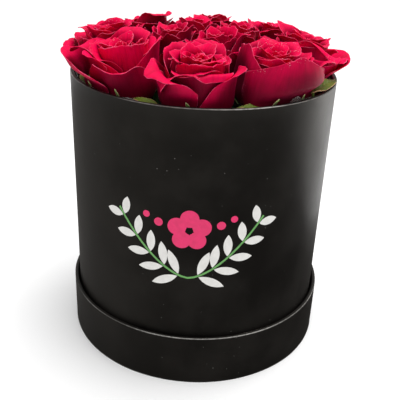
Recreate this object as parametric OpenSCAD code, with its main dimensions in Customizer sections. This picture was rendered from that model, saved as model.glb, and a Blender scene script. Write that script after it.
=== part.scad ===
// Round flower box: a paper-covered board drum that stands in its own upturned lid,
// with a film-lined block of wet foam and a dozen cut roses.
// Millimetres, +Z up, origin at the centre of the lid's underside.

/* [Box] */
// Outer diameter of the drum over its paper
box_d = 180; // [160:1:200]
// Height of the drum's rim above the table
rim_z = 194; // [185:1:205]
// Thickness of the grey board
board_t = 2; // [1.5:0.1:2.5]
// Thickness of the covering and lining papers
paper_t = 0.3; // [0.2:0.05:0.4]
// Depth of paper turned in below the rim
turn_in = 15; // [10:1:25]
// Width of the glued overlap of the wrap at the back
seam_w = 12; // [8:1:20]

/* [Lid] */
// Height of the lid's band
lid_h = 37; // [30:1:45]
// Radial gap between the drum and the lid
lid_gap = 1.4; // [0.8:0.1:2]

/* [Insert] */
// Height of the foam's top above the table
foam_top = 141; // [120:1:150]
// Thickness of the clear liner film
film_t = 0.4; // [0.3:0.1:0.6]
// Distance of the film's edge below the rim
film_drop = 2; // [1:0.5:6]

/* [Roses] */
// Radius of an outer rose's head
head_r = 28.5; // [26:0.5:28.5]
// Height of a rose's head
head_h = 40; // [36:1:42]
// Radius of a rose stem
stem_r = 2.6; // [2:0.1:3]
// Length of stem below a rose's head
stem_len = 80; // [70:1:95]
// Length of a sepal
sepal_len = 18; // [14:1:20]
// Turn of the whole ring of roses about the axis, in degrees
ring_turn = -4; // [-10:1:10]

/* [Print] */
// Width of the printed sprig, measured round the drum
print_w = 112; // [90:1:125]
// Height of the sprig's middle above the table
print_z = 103; // [95:1:120]
// Turn of the print from the front of the drum, in degrees
print_turn = -3; // [-10:1:10]
// Thickness of the printed vinyl
print_t = 0.15; // [0.1:0.05:0.3]

/* [Hidden] */

$fn = 96;
eps = 0.01;

// Radii from the outside of the drum inwards
box_r = box_d / 2;
wall_r = box_r - paper_t;
wall_ri = wall_r - board_t;
lining_ri = wall_ri - paper_t;
film_gap = 0.4;
film_r = lining_ri - film_gap;
foam_r = film_r - film_t - 0.3;

// Radii of the lid from the inside outwards
lid_ri = box_r + lid_gap;
lid_band_ri = lid_ri + paper_t;
lid_band_r = lid_band_ri + board_t;
lid_r = lid_band_r + paper_t;
lid_turn_in = 12;

// Heights of the stacked floors
lid_panel_top = paper_t + board_t;
drum_z = lid_panel_top + paper_t;
floor_z = drum_z + paper_t;
floor_top = floor_z + board_t;
film_z = floor_top + paper_t;
foam_z = film_z + film_t;

// One row per rose: [angle from the front, neck radius, neck height, lean outwards,
// head radius, head height]
outer_count = 8;
inner_count = 4;
outer_neck_r = 61;
outer_neck_z = 183;
outer_lean = 10;
inner_neck_r = 21;
inner_neck_z = 186;
inner_lean = 5;
inner_shrink = 0.98;
inner_turn = 20;
ROSES = concat(
    [for (i = [0 : outer_count - 1])
        [ring_turn + i * 360 / outer_count, outer_neck_r, outer_neck_z, outer_lean,
         head_r, head_h]],
    [for (i = [0 : inner_count - 1])
        [inner_turn + i * 360 / inner_count, inner_neck_r, inner_neck_z, inner_lean,
         head_r * inner_shrink, head_h]]);

// Distance from the axis at which the outer roses meet the inner ones
ring_split = 39;
// Gap left between neighbouring heads
head_gap = 0.4;
// How far an inner rose's cell reaches, past where the outer ring cuts it off
far_reach = 60;
// The cells start this far below the rim, and are this tall
cell_drop = 40;
cell_h = 100;

// The receptacle under a head, and its sepals
hip_h = 9;
hip_r = 4.8;
neck_r = 4;
sepal_w = 6;
sepal_t = 0.6;
sepal_droop = 25;
sepal_count = 5;

// One row per leaf in the gaps of the outer ring: [gap, length, width, radius at its base]
LEAVES = [[3, 34, 14, 83], [2, 34, 14, 83], [1, 20, 8, 79], [0, 22, 8, 79], [5, 34, 14, 83],
          [7, 30, 12, 82]];
leaf_t = 0.6;
leaf_lift = 2;
leaf_tilt = 8;
leaf_swing = 12;
// How far a leaf's middle stands to the side of its gap
leaf_aside = 4.5;
stalk_r = 0.8;
stalk_knee_r = 1.1;
stalk_in = 2.5;
stalk_drop = 25;
// Depth below an outer rose's neck at which a stalk meets its stem, and the gap there
stalk_depth = 13;
stalk_clear = 0.1;
stalk_fall = 5;

// Wraps a child drawn at the front, facing -Y, to a distance s round the drum
module round_drum(s) rotate([0, 0, s / box_r * 180 / PI]) children();

function bezier(p, t) =
    pow(1 - t, 3) * p[0] + 3 * pow(1 - t, 2) * t * p[1]
    + 3 * (1 - t) * t * t * p[2] + pow(t, 3) * p[3];

// Ring with a rectangular section
module ring(ri, ro, z0, z1)
    rotate_extrude() translate([ri, z0]) square([ro - ri, z1 - z0]);

// Paper that covers a board tube, goes over its top edge and turns in
module turned_wrap(ri, ro, z0, z1, depth)
    rotate_extrude() polygon([
        [ro - paper_t, z0], [ro, z0], [ro, z1], [ri, z1], [ri, z1 - depth],
        [ri + paper_t, z1 - depth], [ri + paper_t, z1 - paper_t],
        [ro - paper_t, z1 - paper_t]]);

// Paper that covers a floor and the inside of its tube
module cup_lining(ri, z0, z1)
    rotate_extrude() polygon([
        [0, z0], [ri + paper_t, z0], [ri + paper_t, z1], [ri, z1],
        [ri, z0 + paper_t], [0, z0 + paper_t]]);

// ---- lid ----
module lid_face_paper() color([0.07, 0.07, 0.07]) cylinder(r = lid_r, h = paper_t);

module lid_panel()
    color([0.52, 0.47, 0.4]) translate([0, 0, paper_t])
        cylinder(r = lid_band_ri, h = board_t);

module lid_band()
    color([0.52, 0.47, 0.4]) ring(lid_band_ri, lid_band_r, paper_t, lid_h - paper_t);

module lid_wrap()
    color([0.07, 0.07, 0.07]) turned_wrap(lid_ri, lid_r, paper_t, lid_h, lid_turn_in);

module lid_lining()
    color([0.1, 0.1, 0.1]) cup_lining(lid_ri, lid_panel_top, lid_h - lid_turn_in);

// ---- drum ----
module drum_base_paper()
    color([0.07, 0.07, 0.07]) translate([0, 0, drum_z]) cylinder(r = wall_r, h = paper_t);

module drum_floor()
    color([0.52, 0.47, 0.4]) translate([0, 0, floor_z]) cylinder(r = wall_ri, h = board_t);

module drum_wall()
    color([0.52, 0.47, 0.4]) ring(wall_ri, wall_r, floor_z, rim_z - paper_t);

// The wrap's second layer where its ends overlap, down the middle of the back
module wrap_overlap()
    intersection() {
        ring(box_r - eps, box_r + paper_t / 2, drum_z, rim_z);
        translate([-seam_w / 2, 0, 0]) cube([seam_w, box_r * 2, rim_z]);
    }

module drum_wrap()
    color([0.07, 0.07, 0.07]) {
        turned_wrap(lining_ri, box_r, drum_z, rim_z, turn_in);
        wrap_overlap();
    }

module drum_lining()
    color([0.1, 0.1, 0.1]) cup_lining(lining_ri, floor_top, rim_z - turn_in);

// ---- print: two leafy twigs that meet under a blossom ----
twig_pairs = 5;
twig_rise = 42;
twig_line = 1.3;
twig_power = 1.6;
print_leaf_len = 18;
print_leaf_w = 5.8;
// A leaf is this share longer at a twig's foot, and loses this share up to its tip
leaf_gain = 0.05;
leaf_loss = 0.4;
leaf_splay = 46;
// Where the first pair of leaves stands, as a share of the space between pairs
first_pair = 0.6;
twig_steps = 12;
blossom_lift = 13;
blossom_hub_r = 2.4;
petal_count = 5;
petal_r = 5.9;
petal_out = 8.1;
bud_r = 3.5;
bud_shrink = 0.8;
bud_start = 11.5;
bud_step = 8;
bud_rise = 4;
bud_count = 2;
// Depth of the stamps that cut the vinyl, and how far they reach up and down
stamp_depth = 16;
stamp_reach = 60;

// Height of a twig above its lowest point at a share u of its length
function twig_z(u) = print_z - twig_rise / 2 + twig_rise * pow(u, twig_power);
function twig_s(u) = u * (print_w - print_leaf_len) / 2;
function twig_slope(u) = atan(twig_rise * twig_power * pow(u, twig_power - 1) / twig_s(1));

module vinyl()
    rotate([0, 0, print_turn]) intersection() {
        ring(box_r, box_r + print_t, print_z - stamp_reach, print_z + stamp_reach);
        children();
    }

// A flat shape drawn in X and Y, stood up at the front of the drum
module at_front(s, z, turn = 0)
    round_drum(s) translate([0, -box_r + stamp_depth / 2, z]) rotate([90, 0, 0])
        rotate([0, 0, turn]) linear_extrude(stamp_depth) children();

module pointed_leaf(len, w) {
    r = (len * len / 4 + w * w / 4) / w;
    translate([len / 2, 0]) intersection() {
        translate([0, r - w / 2]) circle(r);
        translate([0, w / 2 - r]) circle(r);
    }
}

module print_leaves()
    color([0.92, 0.9, 0.86]) vinyl()
        for (side = [-1, 1], k = [1 : twig_pairs], way = [-1, 1]) {
            u = (k - 1 + first_pair) / twig_pairs;
            turn = twig_slope(u) + way * leaf_splay;
            at_front(side * twig_s(u), twig_z(u), side > 0 ? turn : 180 - turn)
                translate([twig_line, 0])
                    pointed_leaf(print_leaf_len * (1 + leaf_gain - leaf_loss * u), print_leaf_w);
        }

module print_twigs()
    color([0.45, 0.68, 0.4]) vinyl()
        for (side = [-1, 1], k = [0 : twig_steps - 1]) {
            u0 = k / twig_steps;
            u1 = (k + 1) / twig_steps;
            run = twig_s(u1) - twig_s(u0);
            rise = twig_z(u1) - twig_z(u0);
            turn = atan2(rise, run);
            at_front(side * twig_s(u0), twig_z(u0), side > 0 ? turn : 180 - turn)
                translate([-0.1, -twig_line / 2])
                    square([sqrt(run * run + rise * rise) + 0.2, twig_line]);
        }

module print_blossoms()
    color([0.93, 0.12, 0.36]) vinyl() {
        at_front(0, print_z + blossom_lift) difference() {
            for (k = [0 : petal_count - 1])
                rotate(90 + k * 360 / petal_count) translate([petal_out, 0])
                    circle(petal_r, $fn = 32);
            circle(blossom_hub_r, $fn = 32);
        }
        for (side = [-1, 1], k = [1 : bud_count])
            at_front(side * (bud_start + k * bud_step), print_z + blossom_lift + k * bud_rise)
                circle(bud_r * pow(bud_shrink, k), $fn = 32);
    }

// ---- insert ----
module film_liner()
    color([0.8, 0.86, 0.84, 0.5])
        difference() {
            translate([0, 0, film_z]) cylinder(r = film_r, h = rim_z - film_drop - film_z);
            translate([0, 0, foam_z]) cylinder(r = film_r - film_t, h = rim_z);
        }

// Places a child drawn on its own axis, with its head's base at the origin, as rose i
module place_rose(i) {
    rose = ROSES[i];
    rotate([0, 0, rose[0]]) translate([0, -rose[1], rose[2]]) rotate([rose[3], 0, 0])
        children();
}

module foam_block()
    color([0.16, 0.33, 0.18]) difference() {
        translate([0, 0, foam_z]) cylinder(r = foam_r, h = foam_top - foam_z);
        for (i = [0 : len(ROSES) - 1]) place_rose(i) stem_body();
    }

module stem_body()
    translate([0, 0, -stem_len]) cylinder(r = stem_r, h = stem_len - hip_h, $fn = 32);

// Outline of a head: a belly that widens to its rim, then a closed crown
function head_outline(r, h, steps = 7) = concat(
    [[0, 0]],
    [for (k = [0 : steps]) bezier(
        [[neck_r, 0], [0.45 * r, 0.04 * h], [0.97 * r, 0.38 * h], [r, 0.68 * h]],
        k / steps)],
    [for (k = [1 : steps]) bezier(
        [[r, 0.68 * h], [r, 0.9 * h], [0.55 * r, h], [0, h]], k / steps)]);

// Space that rose i has between its neighbours, seen from above
module head_cell(i) {
    outer = i < outer_count;
    half = 180 / (outer ? outer_count : inner_count);
    near = outer ? ring_split + head_gap : 0;
    far = outer ? box_d : 0;
    rotate([0, 0, ROSES[i][0]]) translate([0, 0, rim_z - cell_drop])
        linear_extrude(cell_h) translate([0, -head_gap]) {
            if (outer)
                polygon([[-near * tan(half), -near], [near * tan(half), -near],
                         [far * tan(half), -far], [-far * tan(half), -far]]);
            else
                polygon([[0, 0], [far_reach * sin(half), -far_reach * cos(half)],
                         [0, -far_reach / cos(half)],
                         [-far_reach * sin(half), -far_reach * cos(half)]]);
        }
}

// The inner roses stop at the flat sides that the outer ring leaves
module ring_core()
    rotate([0, 0, ring_turn + 90 + 180 / outer_count]) translate([0, 0, rim_z - cell_drop])
        cylinder(r = (ring_split - head_gap) / cos(180 / outer_count), h = cell_h,
                 $fn = outer_count);

module bloom(i)
    color([0.62, 0.01, 0.1]) intersection() {
        place_rose(i) rotate_extrude()
            polygon(head_outline(ROSES[i][4], ROSES[i][5]));
        head_cell(i);
        if (i >= outer_count) ring_core();
    }

// Flat leaf shape with its base at the origin and its tip on +X
module blade(len, w, t) linear_extrude(t) pointed_leaf(len, w);

module calyx(i)
    color([0.3, 0.42, 0.16]) place_rose(i) {
        rotate_extrude() polygon([
            [0, -hip_h], [stem_r, -hip_h], [hip_r * 0.85, -hip_h * 0.75],
            [hip_r, -hip_h * 0.45], [neck_r, -eps], [0, -eps]]);
        for (k = [0 : sepal_count - 1])
            rotate([0, 0, k * 360 / sepal_count + 18 * i]) translate([hip_r * 0.6, 0, -1.6])
                rotate([0, sepal_droop, 0]) blade(sepal_len, sepal_w, sepal_t);
    }

module stem(i) color([0.22, 0.36, 0.14]) place_rose(i) stem_body();

// A leaflet in a gap of the outer ring. Its stalk drops inside the film and runs in to the
// stem of the rose beside it
module leaf(n) {
    row = LEAVES[n];
    half_gap = 180 / outer_count;
    base = [leaf_aside - row[1] / 2, -row[3]];
    foot = base + stalk_in * [cos(leaf_swing), -sin(leaf_swing)];
    goal = (outer_neck_r - stalk_depth * tan(outer_lean)) * [-sin(half_gap), -cos(half_gap)];
    run = goal - foot;
    color([0.24, 0.42, 0.12])
        rotate([0, 0, ring_turn + (2 * row[0] - 1) * half_gap]) translate([0, 0, rim_z + leaf_lift]) {
            translate([base[0], base[1], 0]) rotate([0, 0, -leaf_swing])
                rotate([leaf_tilt, 0, 0]) blade(row[1], row[2], leaf_t);
            translate([foot[0], foot[1], -stalk_drop]) {
                cylinder(r = stalk_r, h = stalk_drop + leaf_t / 2, $fn = 24);
                sphere(r = stalk_knee_r, $fn = 24);
                rotate([-90 - stalk_fall, 0, atan2(-run[0], run[1])])
                    cylinder(r = stalk_r, h = norm(run) - stem_r - stalk_clear, $fn = 24);
            }
        }
}

lid_face_paper();
lid_panel();
lid_band();
lid_wrap();
lid_lining();
drum_base_paper();
drum_floor();
drum_wall();
drum_wrap();
drum_lining();
print_leaves();
print_twigs();
print_blossoms();
film_liner();
foam_block();
for (i = [1 : len(ROSES)]) {
    bloom(i - 1);
    calyx(i - 1);
    stem(i - 1);
}
for (i = [1 : len(LEAVES)])
    leaf(i - 1);
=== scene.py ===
"""Looks of a round flower box: a paper-covered drum standing in its upturned lid, holding a
dozen cut crimson roses in wet foam. Metres, in the same frame as the part's own model."""

import logging
import math
from dataclasses import dataclass, field, replace
from enum import Enum
from typing import Any, Optional, Sequence

import bpy
import numpy as np
from mathutils import Matrix, Vector


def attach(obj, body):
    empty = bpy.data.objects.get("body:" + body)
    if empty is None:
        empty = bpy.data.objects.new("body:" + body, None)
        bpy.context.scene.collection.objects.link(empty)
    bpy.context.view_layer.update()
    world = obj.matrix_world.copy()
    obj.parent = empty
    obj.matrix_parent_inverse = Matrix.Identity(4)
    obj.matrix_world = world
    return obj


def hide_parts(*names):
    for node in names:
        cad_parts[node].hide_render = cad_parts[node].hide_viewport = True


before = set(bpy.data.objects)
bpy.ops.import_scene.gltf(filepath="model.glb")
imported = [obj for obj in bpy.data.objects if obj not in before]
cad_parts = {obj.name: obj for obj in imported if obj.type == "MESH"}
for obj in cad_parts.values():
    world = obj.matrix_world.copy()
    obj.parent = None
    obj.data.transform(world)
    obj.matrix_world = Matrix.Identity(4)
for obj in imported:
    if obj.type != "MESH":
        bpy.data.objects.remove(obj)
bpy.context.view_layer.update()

log = logging.getLogger("flower_box")

Array = np.ndarray
Colour = tuple[float, float, float]
Socket = Any

MM = 0.001
TAU = 2.0 * math.pi

# Radii and heights of the box in millimetres
DRUM_R = 90.0
RIM_Z = 194.0
LINING_R = 87.4
FILM_R = 87.0


class Body(Enum):
    """The rigid bodies that pieces ride on."""

    LID = "lid"
    DRUM = "drum"
    INSERT = "insert"


# ---------------------------------------------------------------- small curves


def smooth(low: float | Array, high: float | Array, x: float | Array) -> Array:
    """Smooth step: 0 below low, 1 above high, and an S-shaped cubic between them.

    Args:
        low: where the step starts.
        high: where it ends.
        x: values to map.

    Returns:
        The step's value at each x.
    """
    t = np.clip((np.asarray(x, float) - low) / (np.asarray(high, float) - low), 0.0, 1.0)
    return t * t * (3.0 - 2.0 * t)


def soft_limit(distance: Array, margin: float, gap: float) -> Array:
    """Eases a distance from a wall so that it never falls under a gap.

    Beyond the margin the distance stays as it is. Nearer, or on the far side of the wall, it
    falls off exponentially towards the gap, with no kink at the margin.

    Args:
        distance: distance inside the wall, negative beyond it.
        margin: distance at which the easing starts.
        gap: the distance left at the wall.

    Returns:
        The eased distances.
    """
    span = margin - gap
    eased = gap + span * np.exp(np.minimum(distance - margin, 0.0) / span)
    return np.where(distance > margin, distance, eased)


# ---------------------------------------------------------------- surfaces


@dataclass
class Surface:
    """A closed mesh under construction: points in millimetres, faces and point values."""

    points: Array
    faces: Array
    uv: Array
    values: dict[str, Array] = field(default_factory=dict)

    @staticmethod
    def join(parts: Sequence["Surface"]) -> "Surface":
        """Several surfaces as one.

        Args:
            parts: surfaces with the same value names.

        Returns:
            One surface that holds them all, in order.
        """
        starts = np.cumsum([0] + [len(part.points) for part in parts[:-1]])
        names = parts[0].values
        return Surface(
            np.concatenate([part.points for part in parts]),
            np.concatenate([part.faces + start for part, start in zip(parts, starts)]),
            np.concatenate([part.uv for part in parts]),
            {name: np.concatenate([part.values[name] for part in parts]) for name in names},
        )

    def piece(
        self,
        name: str,
        material: bpy.types.Material,
        body: Body,
        slot: str,
        nodes: Sequence[str] = (),
    ) -> bpy.types.Object:
        """Makes the mesh object, dresses it, and ties it to its body.

        Args:
            name: the object's name.
            material: its finish.
            body: the body that it rides on.
            slot: the name of a material slot; not used.
            nodes: nodes of the part's own model that it replaces.

        Returns:
            The new object, at the world origin.
        """
        mesh = bpy.data.meshes.new(name)
        count = len(self.faces)
        mesh.vertices.add(len(self.points))
        mesh.vertices.foreach_set("co", (self.points * MM).astype(np.float32).ravel())
        mesh.loops.add(count * 4)
        mesh.loops.foreach_set("vertex_index", self.faces.astype(np.int32).ravel())
        mesh.polygons.add(count)
        mesh.polygons.foreach_set("loop_start", np.arange(0, count * 4, 4, dtype=np.int32))
        mesh.polygons.foreach_set("use_smooth", np.ones(count, bool))
        mesh.update(calc_edges=True)
        layer = mesh.uv_layers.new(name="surface")
        layer.data.foreach_set("uv", self.uv[self.faces.ravel()].astype(np.float32).ravel())
        for label, numbers in self.values.items():
            data = mesh.attributes.new(label, "FLOAT", "POINT").data
            data.foreach_set("value", numbers.astype(np.float32))
        mesh.materials.append(material)
        piece = bpy.data.objects.new(name, mesh)
        bpy.context.scene.collection.objects.link(piece)
        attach(piece, body.value)
        if nodes:
            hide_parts(*nodes)
        log.info("%s: %d triangles", name, count * 2)
        return piece


def grid_faces(rows: int, columns: int, wrap: bool = False) -> Array:
    """Quads over a grid of points numbered row by row.

    Args:
        rows: number of rows.
        columns: number of columns.
        wrap: whether the last column joins the first.

    Returns:
        Four point numbers a face.
    """
    index = np.arange(rows * columns).reshape(rows, columns)
    if wrap:
        index = np.concatenate([index, index[:, :1]], axis=1)
    corners = (index[:-1, :-1], index[:-1, 1:], index[1:, 1:], index[1:, :-1])
    return np.stack(corners, axis=-1).reshape(-1, 4)


def thin_shell(middle: Array, thickness: Array, uv: Array, values: dict[str, Array]) -> Surface:
    """A closed skin of two faces and a strip round the edge.

    Each side is the middle surface moved half the thickness along its normal, which is the
    cross product of the steps along a row and along a column.

    Args:
        middle: points of the middle surface, rows by columns by 3, in millimetres.
        thickness: thickness at each point.
        uv: a place on the surface for each point.
        values: values for each point. "back" is added: 1 on the outward side, 0 on the other.

    Returns:
        The closed surface.
    """
    rows, columns, _ = middle.shape
    count = rows * columns
    normal = np.cross(np.gradient(middle, axis=1), np.gradient(middle, axis=0))
    normal /= np.linalg.norm(normal, axis=-1, keepdims=True) + 1e-9
    half = normal * thickness[..., None] / 2.0
    points = np.concatenate([(middle + half).reshape(-1, 3), (middle - half).reshape(-1, 3)])
    index = np.arange(count).reshape(rows, columns)
    front = grid_faces(rows, columns)
    loop = np.concatenate([index[0, :-1], index[:-1, -1], index[-1, :0:-1], index[:0:-1, 0]])
    after = np.roll(loop, -1)
    strip = np.stack([after, loop, loop + count, after + count], axis=-1)
    both = {name: np.tile(numbers.ravel(), 2) for name, numbers in values.items()}
    both["back"] = np.repeat([1.0, 0.0], count)
    return Surface(
        points,
        np.concatenate([front, front[:, ::-1] + count, strip]),
        np.tile(uv.reshape(-1, 2), (2, 1)),
        both,
    )


def lathe(profile: Array, angles: Array, swell: Array, lift: Array | float = 0.0) -> Surface:
    """A closed profile carried round the Z axis.

    A point's radius is the profile's radius plus the swell at that angle and profile place,
    and its height is the profile's height plus the lift there.

    Args:
        profile: (radius, height) pairs round a closed outline, anticlockwise with the radius
            to the right, in millimetres.
        angles: increasing angles of the stations, in radians, less than a whole turn.
        swell: radial offset for each angle and profile point.
        lift: vertical offset for each angle and profile point.

    Returns:
        The closed surface, with UV in millimetres along the turn and the height.
    """
    radius = profile[None, :, 0] + swell
    height = np.broadcast_to(profile[None, :, 1] + lift, radius.shape)
    turn = np.broadcast_to(angles[:, None], radius.shape)
    points = np.stack([radius * np.sin(turn), -radius * np.cos(turn), height], axis=-1)
    faces = grid_faces(len(angles), len(profile), wrap=True)
    last = (len(angles) - 1) * len(profile)
    here = np.arange(len(profile))
    there = np.roll(here, -1)
    closing = np.stack([last + here, last + there, there, here], axis=-1)
    uv = np.stack([turn * DRUM_R, height], axis=-1).reshape(-1, 2)
    return Surface(points.reshape(-1, 3), np.concatenate([faces, closing])[:, ::-1], uv)


# ---------------------------------------------------------------- finishes


class Graph:
    """A material's node tree, with a shorthand for the nodes that the finishes use."""

    def __init__(self, name: str) -> None:
        """Starts a material that holds a Principled shader.

        Args:
            name: the material's name.
        """
        self.material = bpy.data.materials.new(name)
        self.material.use_nodes = True
        self.tree = self.material.node_tree
        self.shader = self.tree.nodes["Principled BSDF"]

    def put(self, socket: Socket, value: Any) -> None:
        """Links a socket to another one, or sets its value.

        Args:
            socket: the input.
            value: an output, a number, or a colour without its alpha.
        """
        if isinstance(value, bpy.types.NodeSocket):
            self.tree.links.new(value, socket)
        elif isinstance(value, tuple) and len(value) == 3 and socket.type == "RGBA":
            socket.default_value = (*value, 1.0)
        else:
            socket.default_value = value

    def set(self, **inputs: Any) -> None:
        """Sets inputs of the shader, named with underscores for spaces."""
        for name, value in inputs.items():
            self.put(self.shader.inputs[name.replace("_", " ")], value)

    def node(self, kind: str, inputs: dict[Any, Any], **options: Any) -> Any:
        """Adds a node.

        Args:
            kind: the node's type.
            inputs: values or sockets for its inputs, by name or number.
            options: values of its own properties.

        Returns:
            The node.
        """
        node = self.tree.nodes.new(kind)
        for name, value in options.items():
            setattr(node, name, value)
        for name, value in inputs.items():
            self.put(node.inputs[name], value)
        return node

    def place(self) -> Socket:
        """Object coordinates, in metres."""
        return self.node("ShaderNodeTexCoord", {}).outputs["Object"]

    def uv(self) -> Socket:
        """The piece's own UV map."""
        return self.node("ShaderNodeUVMap", {}, uv_map="surface").outputs[0]

    def value(self, name: str) -> Socket:
        """One of the values stored at the piece's points."""
        return self.node("ShaderNodeAttribute", {}, attribute_name=name).outputs["Fac"]

    def parts(self, vector: Socket) -> tuple[Socket, Socket, Socket]:
        """The three parts of a vector."""
        split = self.node("ShaderNodeSeparateXYZ", {0: vector})
        return split.outputs[0], split.outputs[1], split.outputs[2]

    def stretch(self, vector: Socket, scale: Sequence[float]) -> Socket:
        """A vector multiplied part by part."""
        inputs = {"Vector": vector, "Scale": tuple(scale)}
        return self.node("ShaderNodeMapping", inputs).outputs[0]

    def noise(
        self, vector: Socket, scale: float, detail: float = 3.0, rough: float = 0.5
    ) -> Socket:
        """Soft noise from 0 to 1 with that many waves a metre."""
        inputs = {"Vector": vector, "Scale": scale, "Detail": detail, "Roughness": rough}
        return self.node("ShaderNodeTexNoise", inputs).outputs["Fac"]

    def cells(self, vector: Socket, scale: float) -> Socket:
        """Distance to the nearest of scattered points, of which that many lie in a metre."""
        inputs = {"Vector": vector, "Scale": scale}
        return self.node("ShaderNodeTexVoronoi", inputs).outputs["Distance"]

    def math(self, kind: str, a: Any, b: Any = 0.0) -> Socket:
        """Arithmetic on two numbers."""
        return self.node("ShaderNodeMath", {0: a, 1: b}, operation=kind).outputs[0]

    def step(self, value: Socket, low: float, high: float, a: float = 0.0, b: float = 1.0) -> Socket:
        """Maps low to a and high to b, smoothly, and holds the ends.

        Args:
            value: the value to map.
            low: where the step starts.
            high: where it ends.
            a: the result at low.
            b: the result at high.

        Returns:
            The mapped value.
        """
        inputs = {"Value": value, "From Min": low, "From Max": high, "To Min": a, "To Max": b}
        node = self.node("ShaderNodeMapRange", inputs, interpolation_type="SMOOTHSTEP")
        return node.outputs[0]

    def mix(self, share: Any, a: Any, b: Any) -> Socket:
        """Mixes two colours.

        Args:
            share: how much of the second colour, from 0 to 1.
            a: the first colour.
            b: the second colour.

        Returns:
            The mixed colour.
        """
        node = self.node("ShaderNodeMix", {}, data_type="RGBA")
        self.put(node.inputs[0], share)
        self.put(node.inputs[6], a)
        self.put(node.inputs[7], b)
        return node.outputs[2]

    def bump(self, height: Socket, depth: float, below: Optional[Socket] = None) -> Socket:
        """A bumped normal.

        Args:
            height: the height, from 0 to 1.
            depth: how deep that is, in millimetres.
            below: a normal that this one is laid on.

        Returns:
            The normal.
        """
        inputs: dict[Any, Any] = {"Height": height, "Strength": 1.0, "Distance": depth * MM}
        if below is not None:
            inputs["Normal"] = below
        return self.node("ShaderNodeBump", inputs).outputs[0]


@dataclass(frozen=True)
class PetalFinish:
    """Velvety crimson petal: painted shade at the claw, painted light at the lip, a duller colour with
    painted shade on the lower part of its back, a painted highlight along its rims, and water drops
    painted pale as their glints.
    """

    name: str = "rose petal"
    deep: Colour = (0.060, 0.0, 0.006)
    body: Colour = (0.57, 0.0, 0.047)
    painted_light_colour: Colour = (0.86, 0.0, 0.072)
    back: Colour = (0.19, 0.0, 0.019)
    edge: Colour = (0.90, 0.12, 0.25)
    dew_and_glint: Colour = (0.95, 0.45, 0.56)
    dusk: Colour = (0.085, 0.005, 0.017)

    def build(self) -> bpy.types.Material:
        """Makes the finish.

        Returns:
            The material.
        """
        g = Graph(self.name)
        place, uv = g.place(), g.uv()
        along = g.parts(uv)[1]
        back, rim, tone = g.value("back"), g.value("rim"), g.value("tone")
        clouds = g.noise(place, 70.0, 3.0)
        veins = g.noise(g.stretch(uv, (26.0, 2.2, 1.0)), 1.0, 3.0, 0.6)
        # Painted shade: from the deep colour at the claw to the body colour further up, reached sooner on
        # petals of higher tone
        out_of_shade = g.math("ADD", along, g.step(tone, 0.2, 1.6, -0.16, 0.32))
        shade = g.mix(g.step(out_of_shade, 0.44, 1.06), self.deep, self.body)
        # Painted light: the lip colour is mixed in towards the lip and on petals of higher tone
        painted_light = g.math("ADD", g.step(along, 0.5, 0.98, 0.0, 0.75), g.step(tone, 0.4, 1.5, 0.0, 0.4))
        painted_light = g.math("MULTIPLY", painted_light, g.step(clouds, 0.25, 0.75, 0.55, 1.15))
        shade = g.mix(painted_light, shade, self.painted_light_colour)
        # Painted shade on the outer side of the petal, most on its lower part and on petals of lower tone
        back_shade = g.math("MULTIPLY", back, g.step(clouds, 0.2, 0.8, 1.0, 0.7))
        back_shade = g.math("MULTIPLY", back_shade, g.step(tone, 0.2, 1.5, 1.0, 0.15))
        back_shade = g.math("MULTIPLY", back_shade, g.step(along, 0.6, 0.98, 1.0, 0.4))
        shade = g.mix(back_shade, shade, self.back)
        # Darker purplish patches, scattered by noise, only within the painted shade on the outer side
        dusky = g.math("MULTIPLY", back_shade, g.step(g.noise(place, 26.0, 2.0), 0.44, 0.66, 0.0, 0.8))
        shade = g.mix(dusky, shade, self.dusk)
        shade = g.mix(g.step(veins, 0.42, 0.75, 0.0, 0.3), shade, self.deep)
        # Painted highlight: a pale pink line along the rims, broken up by noise
        uneven_rim = g.math("ADD", rim, g.math("MULTIPLY", g.noise(place, 900.0, 2.0), 0.5))
        rim_glint = g.step(uneven_rim, 1.0, 1.38, 0.0, 0.9)
        rim_glint = g.math("MULTIPLY", rim_glint, g.step(g.noise(place, 130.0, 2.0), 0.42, 0.60, 0.12, 1.0))
        shade = g.mix(rim_glint, shade, self.edge)
        # Water drops in patches near the rims, painted pale pink as their glints; they also raise small
        # bumps
        drops = g.step(g.cells(place, 850.0), 0.14, 0.27, 1.0, 0.0)
        patch = g.step(g.noise(place, 75.0, 2.0), 0.52, 0.66)
        wet_and_glint = g.math("MULTIPLY", g.math("MULTIPLY", drops, patch), g.step(rim, 0.06, 0.5))
        shade = g.mix(g.math("MULTIPLY", wet_and_glint, 0.7), shade, self.dew_and_glint)
        height = g.math("ADD", g.math("MULTIPLY", veins, 0.5), wet_and_glint)
        fine = g.bump(g.noise(place, 1400.0, 2.0), 0.05)
        g.set(
            Base_Color=shade,
            Roughness=g.step(clouds, 0.3, 0.7, 0.46, 0.60),
            Normal=g.bump(height, 0.16, fine),
            Sheen_Weight=0.05,
            Sheen_Roughness=0.35,
            Sheen_Tint=(1.0, 0.06, 0.22),
            Subsurface_Weight=0.10,
            Subsurface_Radius=(0.004, 0.0004, 0.0008),
            Subsurface_Scale=0.5,
            Specular_IOR_Level=0.06,
        )
        return g.material


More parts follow.
